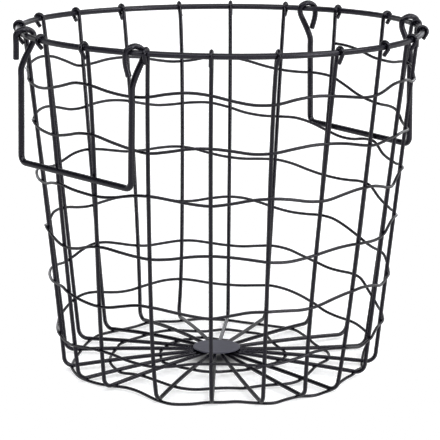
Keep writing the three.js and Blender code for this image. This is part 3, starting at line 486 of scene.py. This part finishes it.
def disc_object():
    """Round plate with a rolled-over edge and a shallow dimple over each spoke's weld."""
    bottom, top, radius, edge = SPOKE_Z + UP_R + 0.8, 15.20, 24.3, 0.55
    prof = [(r, bottom) for r in (0.0, 8.0, 15.0, 20.0, radius - edge)]
    prof += [(radius - edge + edge * math.sin(a), bottom + edge - edge * math.cos(a)) for a in np.radians([22, 45, 67, 90])]
    prof += [(radius - edge + edge * math.cos(a), top - edge + edge * math.sin(a)) for a in np.radians([0, 22, 45, 67, 90])]
    prof += [(r, top) for r in np.linspace(radius - edge, 0.0, 22)[1:]]
    seg = 160
    verts, faces = [np.array([0, 0, bottom])], []
    rows = []
    for r, z in prof[1:-1]:
        rows.append(len(verts))
        for s in range(seg):
            a = 2 * math.pi * s / seg
            verts.append(np.array([r * math.cos(a), r * math.sin(a), z]))
    verts.append(np.array([0, 0, top]))
    for s in range(seg):
        u = (s + 1) % seg
        faces.append((0, rows[0] + u, rows[0] + s))
        for i in range(len(rows) - 1):
            faces.append((rows[i] + s, rows[i] + u, rows[i + 1] + u, rows[i + 1] + s))
        faces.append((rows[-1] + s, rows[-1] + u, len(verts) - 1))
    v = np.array(verts)
    up = v[:, 2] > top - 0.02
    for k in range(COUNT):
        c = polar(18.6, foot_angle(k), 0)
        d2 = (v[:, 0] - c[0]) ** 2 + (v[:, 1] - c[1]) ** 2
        v[up, 2] -= 0.16 * np.exp(-d2[up] / (2 * 0.95 ** 2))
    return mesh_object("centre_plate", v + DISC_OFF, faces)


pieces["disc"] = disc_object()
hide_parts("centre_disc")

# ---------------------------------------------------------------- welds
side_welds, base_welds, rim_welds, disc_welds = [], [], [], []
for turn in range(0, -8, -1):
    for k in range(COUNT):
        ang = foot_angle(k) + 360 * turn
        for _ in range(8):
            z = wave_height(min(WAVE_START, max(WAVE_END, ang)))
            ang = on_side(k, z)[1] + 360 * turn
        if WAVE_END <= ang <= WAVE_START:
            r, _a = on_side(k, z)
            d_up = unit(SIDE_TOP[k] - CORNER[k])
            d_wave = unit(side_point(ang - 1.5, wave_height(ang - 1.5)) - side_point(ang + 1.5, wave_height(min(WAVE_START, ang + 1.5))))
            c = polar(r + (UP_R - 0.05) / math.cos(LEAN), ang, z)
            side_welds.append((c, d_up, d_wave, (1.75 + 0.25 * rng.random(), 2.1 + 0.3 * rng.random(), 0.62)))
for turn in range(-5, -11, -1):
    for k in range(COUNT):
        ang = foot_angle(k) + 360 * turn
        if SPIRAL_END <= ang <= SPIRAL_START:
            r = spiral_radius(ang)
            zs = spoke_height(k, r)
            zw = spiral_level(ang, r)
            c = polar(r, ang, (zs - UP_R + zw + WAVE_R) / 2) + HUB * (CORNER_RADIUS - r) / (CORNER_RADIUS - SPOKE_END)
            d_sp = unit(spoke_end(k) - CORNER[k])
            d_w = polar(spiral_radius(ang - 1.5), ang - 1.5, 0) - polar(spiral_radius(ang + 1.5), ang + 1.5, 0)
            base_welds.append((c, d_sp, d_w, (1.8 + 0.25 * rng.random(), 2.1 + 0.3 * rng.random(), 0.65)))
for k in range(COUNT):
    a = top_angle(k)
    tang = polar(1, a + 90, 0)
    for f in (math.radians(150), math.radians(60)):
        c = polar(ring(a)[0] + RIM_R * math.cos(f), a, ring(a)[1] + RIM_R * math.sin(f))
        along = -math.sin(f) * polar(1, a, 0) + np.array([0, 0, math.cos(f)])
        rim_welds.append((c, along, tang, (2.3, 1.95 + 0.2 * rng.random(), 0.5)))
    d_sp = unit(spoke_end(k) - CORNER[k])
    for r in (18.6,):
        c = polar(r, foot_angle(k), spoke_height(k, r) + UP_R + 0.2) + HUB + SPOKE_ASIDE.get(k, 0.0)
        disc_welds.append((c, d_sp, polar(1, foot_angle(k) + 90, 0), (2.3, 1.6, 0.75)))
welds = {
    "welds_side": (blobs("welds_side", side_welds), "wavy_wire"),
    "welds_base": (blobs("welds_base", base_welds), "wavy_wire"),
    "welds_rim": (blobs("welds_rim", rim_welds), "rim_wire"),
    "welds_disc": (blobs("welds_disc", disc_welds), "disc_plate"),
}


# ---------------------------------------------------------------- materials
def coat(name, base, light, rough, seed, scale=1.0, rub=()):
    """Satin powder coat: a charcoal ground with faint mottling, orange peel, specks and, where given, rubbed places."""
    m = bpy.data.materials.new(name)
    m.use_nodes = True
    nt = m.node_tree
    nt.nodes.clear()

    def node(kind, **kw):
        n = nt.nodes.new(kind)
        for key, val in kw.items():
            setattr(n, key, val)
        return n

    out = node("ShaderNodeOutputMaterial")
    bsdf = node("ShaderNodeBsdfPrincipled")
    nt.links.new(bsdf.outputs[0], out.inputs[0])
    co = place = node("ShaderNodeTexCoord").outputs["Object"]
    mapping = node("ShaderNodeMapping")
    mapping.inputs["Location"].default_value = (seed * 0.37, seed * 0.11, seed * 0.23)
    nt.links.new(co, mapping.inputs["Vector"])
    co = mapping.outputs[0]

    def noise(sc, detail, roughness):
        n = node("ShaderNodeTexNoise")
        n.inputs["Scale"].default_value = sc * scale
        n.inputs["Detail"].default_value = detail
        n.inputs["Roughness"].default_value = roughness
        nt.links.new(co, n.inputs["Vector"])
        return n.outputs["Fac"]

    ramp = node("ShaderNodeValToRGB")
    ramp.color_ramp.elements[0].position = 0.30
    ramp.color_ramp.elements[0].color = (*base, 1)
    ramp.color_ramp.elements[1].position = 0.72
    ramp.color_ramp.elements[1].color = (*light, 1)
    nt.links.new(noise(38.0, 4.0, 0.55), ramp.inputs[0])
    speck = node("ShaderNodeValToRGB")
    speck.color_ramp.elements[0].position = 0.64
    speck.color_ramp.elements[0].color = (0, 0, 0, 1)
    speck.color_ramp.elements[1].position = 0.76
    speck.color_ramp.elements[1].color = (1, 1, 1, 1)
    nt.links.new(noise(1400.0, 2.0, 0.6), speck.inputs[0])
    mixed = node("ShaderNodeMix", data_type="RGBA")
    mixed.inputs["B"].default_value = (*[min(1, c * 1.55 + 0.004) for c in light], 1)
    nt.links.new(speck.outputs[0], mixed.inputs["Factor"])
    nt.links.new(ramp.outputs[0], mixed.inputs["A"])
    rr = node("ShaderNodeMapRange")
    rr.inputs["To Min"].default_value = rough - 0.06
    rr.inputs["To Max"].default_value = rough + 0.08
    nt.links.new(noise(160.0, 3.0, 0.6), rr.inputs["Value"])
    colour, dull = mixed.outputs["Result"], rr.outputs[0]
    for at in rub:
        far = node("ShaderNodeVectorMath", operation="DISTANCE")
        far.inputs[1].default_value = at
        nt.links.new(place, far.inputs[0])
        near = node("ShaderNodeMapRange", interpolation_type="SMOOTHSTEP")
        near.inputs["From Min"].default_value = 0.0095
        near.inputs["From Max"].default_value = 0.0030
        nt.links.new(far.outputs["Value"], near.inputs["Value"])
        patchy = node("ShaderNodeMath", operation="MULTIPLY")
        nt.links.new(near.outputs[0], patchy.inputs[0])
        nt.links.new(noise(520.0, 3.0, 0.6), patchy.inputs[1])
        worn = node("ShaderNodeMix", data_type="RGBA")
        worn.inputs["B"].default_value = (0.060, 0.060, 0.068, 1)
        nt.links.new(patchy.outputs[0], worn.inputs["Factor"])
        nt.links.new(colour, worn.inputs["A"])
        polish = node("ShaderNodeMath", operation="MULTIPLY_ADD")
        polish.inputs[1].default_value = -0.16
        nt.links.new(patchy.outputs[0], polish.inputs[0])
        nt.links.new(dull, polish.inputs[2])
        colour, dull = worn.outputs["Result"], polish.outputs[0]
    nt.links.new(colour, bsdf.inputs["Base Color"])
    nt.links.new(dull, bsdf.inputs["Roughness"])
    bump = node("ShaderNodeBump")
    bump.inputs["Strength"].default_value = 0.35
    bump.inputs["Distance"].default_value = 0.00006
    nt.links.new(noise(900.0, 2.0, 0.5), bump.inputs["Height"])
    nt.links.new(bump.outputs[0], bsdf.inputs["Normal"])
    bsdf.inputs["Metallic"].default_value = 0.0
    bsdf.inputs["Specular IOR Level"].default_value = 0.45
    bsdf.inputs["Specular Tint"].default_value = (0.98, 0.95, 1.10, 1)
    return m


EYES = [eye_place(eye) * 0.001 for _side, _swing, *both in HANDLES for eye in both]
# Five copies of one powder coat at different brightness: the rim's coat is made lighter than the others as a painted
# highlight, the disc's much lighter as a painted reflection, and the wavy wire's the darkest, as painted shade.
MATS = {
    "rim_wire": coat("coat_rim_painted_highlight", (0.0142, 0.0137, 0.0176), (0.0221, 0.0214, 0.0273), 0.25, 1, rub=EYES),
    "upright_wire": coat("coat_upright", (0.0052, 0.0050, 0.0065), (0.0086, 0.0083, 0.0106), 0.25, 2),
    "wavy_wire": coat("coat_wave_painted_shade", (0.0042, 0.0040, 0.0052), (0.0070, 0.0068, 0.0087), 0.24, 3),
    "handle_wire": coat("coat_handle", (0.0070, 0.0068, 0.0087), (0.0113, 0.0109, 0.0139), 0.26, 4, rub=EYES),
    "disc_plate": coat("coat_disc_painted_reflection", (0.0850, 0.0850, 0.1170), (0.1020, 0.1020, 0.1390), 0.36, 5),
}


def finish_piece(ob, slot, body="basket"):
    ob.data.materials.clear()
    ob.data.materials.append(MATS[slot])
    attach(ob, body)


finish_piece(pieces["rim"], "rim_wire")
for ob in uprights:
    finish_piece(ob, "upright_wire")
finish_piece(pieces["wave"], "wavy_wire")
finish_piece(pieces["disc"], "disc_plate")
for side, ob in handles.items():
    finish_piece(ob, "handle_wire", f"handle_{side}")
for ob, slot_name in welds.values():
    finish_piece(ob, slot_name)

# ---------------------------------------------------------------- stage
FLOOR_GLOW = 0.72
floor_me = bpy.data.meshes.new("floor")
S = 30.0
floor_me.from_pydata([(-S, -S, 0), (S, -S, 0), (S, S, 0), (-S, S, 0)], [], [(0, 1, 2, 3)])
floor = bpy.data.objects.new("floor", floor_me)
floor.location.z = -0.0002
bpy.context.scene.collection.objects.link(floor)
fm = bpy.data.materials.new("floor_white")
fm.use_nodes = True
fb = fm.node_tree.nodes["Principled BSDF"]
fb.inputs["Base Color"].default_value = (0.28, 0.28, 0.282, 1)
fb.inputs["Roughness"].default_value = 0.9
fb.inputs["Specular IOR Level"].default_value = 0.0
fb.inputs["Emission Color"].default_value = (1.0, 1.0, 1.0, 1)
ft = fm.node_tree                                        # the floor gives off light evenly like a light table; this emission fades out in a soft ring under the disc, a painted shadow of the disc on the floor
painted_shadow_distance = ft.nodes.new("ShaderNodeVectorMath")
painted_shadow_distance.operation = "DISTANCE"
painted_shadow_distance.inputs[1].default_value = (HUB[0] * 0.001 + 0.008 * math.cos(math.radians(49.1)), HUB[1] * 0.001 + 0.008 * math.sin(math.radians(49.1)), 0.0)
ft.links.new(ft.nodes.new("ShaderNodeTexCoord").outputs["Object"], painted_shadow_distance.inputs[0])
glow = ft.nodes.new("ShaderNodeMapRange")
glow.interpolation_type = "SMOOTHSTEP"
glow.inputs["From Min"].default_value = 0.006
glow.inputs["From Max"].default_value = 0.037
glow.inputs["To Min"].default_value = 0.0
glow.inputs["To Max"].default_value = FLOOR_GLOW
ft.links.new(painted_shadow_distance.outputs["Value"], glow.inputs["Value"])
ft.links.new(glow.outputs[0], fb.inputs["Emission Strength"])
floor_me.materials.append(fm)

# a pale sweep low down behind the basket, and a long strip of light high up on the camera's side
SWEEP = ((0.0, 2.5), (1.0, 0.26), (0.17, 2.5), (0.32, 0.26))
STRIP = ((0.0, 0.12), (1.0, 0.22), (0.48, 0.12), (0.60, 5.4), (0.76, 5.4), (0.86, 0.22))
ROOM = ((0.0, 0.12), (1.0, 0.22))
world = bpy.data.worlds.new("studio")
bpy.context.scene.world = world
world.use_nodes = True
nt = world.node_tree
bg = nt.nodes["Background"]
bg.inputs["Strength"].default_value = 1.0
sky = nt.nodes.new("ShaderNodeTexCoord").outputs["Generated"]
apart = nt.nodes.new("ShaderNodeSeparateXYZ")
nt.links.new(sky, apart.inputs[0])


def by_height(levels):
    """Radiance of the surroundings by the sine of the elevation."""
    ramp = nt.nodes.new("ShaderNodeValToRGB")
    ramp.color_ramp.interpolation = "EASE"
    for i, (at, level) in enumerate(levels):
        e = ramp.color_ramp.elements[i] if i < 2 else ramp.color_ramp.elements.new(at)
        e.position, e.color = at, (level * 0.97, level * 0.98, level, 1)
    nt.links.new(apart.outputs["Z"], ramp.inputs[0])
    return ramp.outputs[0]


facing = nt.nodes.new("ShaderNodeVectorMath")
facing.operation = "DOT_PRODUCT"
facing.inputs[1].default_value = (math.cos(math.radians(49.1)), math.sin(math.radians(49.1)), 0.0)
nt.links.new(sky, facing.inputs[0])
behind = nt.nodes.new("ShaderNodeMapRange")
behind.interpolation_type = "SMOOTHSTEP"
behind.inputs["From Min"].default_value = -0.2
behind.inputs["From Max"].default_value = 0.85
nt.links.new(facing.outputs["Value"], behind.inputs["Value"])
room = nt.nodes.new("ShaderNodeMix")
room.data_type = "RGBA"
before = nt.nodes.new("ShaderNodeMapRange")
before.interpolation_type = "SMOOTHSTEP"
before.inputs["From Min"].default_value = -0.15
before.inputs["From Max"].default_value = -0.50
nt.links.new(facing.outputs["Value"], before.inputs["Value"])
front = nt.nodes.new("ShaderNodeMix")
front.data_type = "RGBA"
nt.links.new(before.outputs[0], front.inputs["Factor"])
nt.links.new(by_height(ROOM), front.inputs["A"])
nt.links.new(by_height(STRIP), front.inputs["B"])
nt.links.new(front.outputs["Result"], room.inputs["A"])
nt.links.new(behind.outputs[0], room.inputs["Factor"])
nt.links.new(by_height(SWEEP), room.inputs["B"])
nt.links.new(room.outputs["Result"], bg.inputs["Color"])


def sun(name, azimuth, elevation, angle, strength, colour=(1, 1, 1)):
    """A wide, even light from far off, so that the floor is lit alike all over."""
    li = bpy.data.lights.new(name, "SUN")
    li.angle = math.radians(angle)
    li.energy = strength
    li.color = colour
    ob = bpy.data.objects.new(name, li)
    az, el = math.radians(azimuth), math.radians(elevation)
    d = Vector((math.cos(az) * math.cos(el), math.sin(az) * math.cos(el), math.sin(el)))
    ob.location = d * 3
    ob.rotation_mode = "QUATERNION"
    ob.rotation_quaternion = (-d).to_track_quat("-Z", "Y")
    bpy.context.scene.collection.objects.link(ob)
    return ob


sun("overhead", 200, 82, 75, 0.44)
sun("key", 317, 45, 28, 1.50)
sun("side", 280, 4, 14, 1.50)

# ---------------------------------------------------------------- camera
a = math.radians(229.1)
loc = np.array([1.9511 * math.cos(a), 1.9511 * math.sin(a), 0.58654])
h = math.radians(49.1)
p, roll = 0.22078, 0.008395
fwd = np.array([math.cos(h) * math.cos(p), math.sin(h) * math.cos(p), -math.sin(p)])
right = np.array([math.sin(h), -math.cos(h), 0.0])
up = np.cross(right, fwd)
r2 = math.cos(roll) * right + math.sin(roll) * up
u2 = -math.sin(roll) * right + math.cos(roll) * up
cam = bpy.data.cameras.new("photo_camera")
cam.sensor_fit = "HORIZONTAL"
cam.sensor_width = 36.0
cam.lens = 1960.26 / 440.0 * 36.0
cam.shift_x = (219.5 - 218.449) / 440.0
cam.shift_y = 0.25 / 440.0
cam.clip_start, cam.clip_end = 0.05, 200.0
cob = bpy.data.objects.new("photo_camera", cam)
cob.matrix_world = Matrix(((r2[0], u2[0], -fwd[0], loc[0]), (r2[1], u2[1], -fwd[1], loc[1]), (r2[2], u2[2], -fwd[2], loc[2]), (0, 0, 0, 1)))
bpy.context.scene.collection.objects.link(cob)
bpy.context.scene.camera = cob
view = bpy.context.scene.view_settings
view.view_transform = "Standard"
view.use_curve_mapping = True                            # a firm contrast, as on the photograph
tone = view.curve_mapping
tone.extend = "HORIZONTAL"
for x, y in ((0.02, 0.007), (0.04, 0.020), (0.07, 0.040), (0.11, 0.060), (0.18, 0.090), (0.2725, 0.130), (0.515, 0.280), (0.7575, 0.540), (0.9, 0.79)):
    tone.curves[3].points.new(x, y)
tone.update()
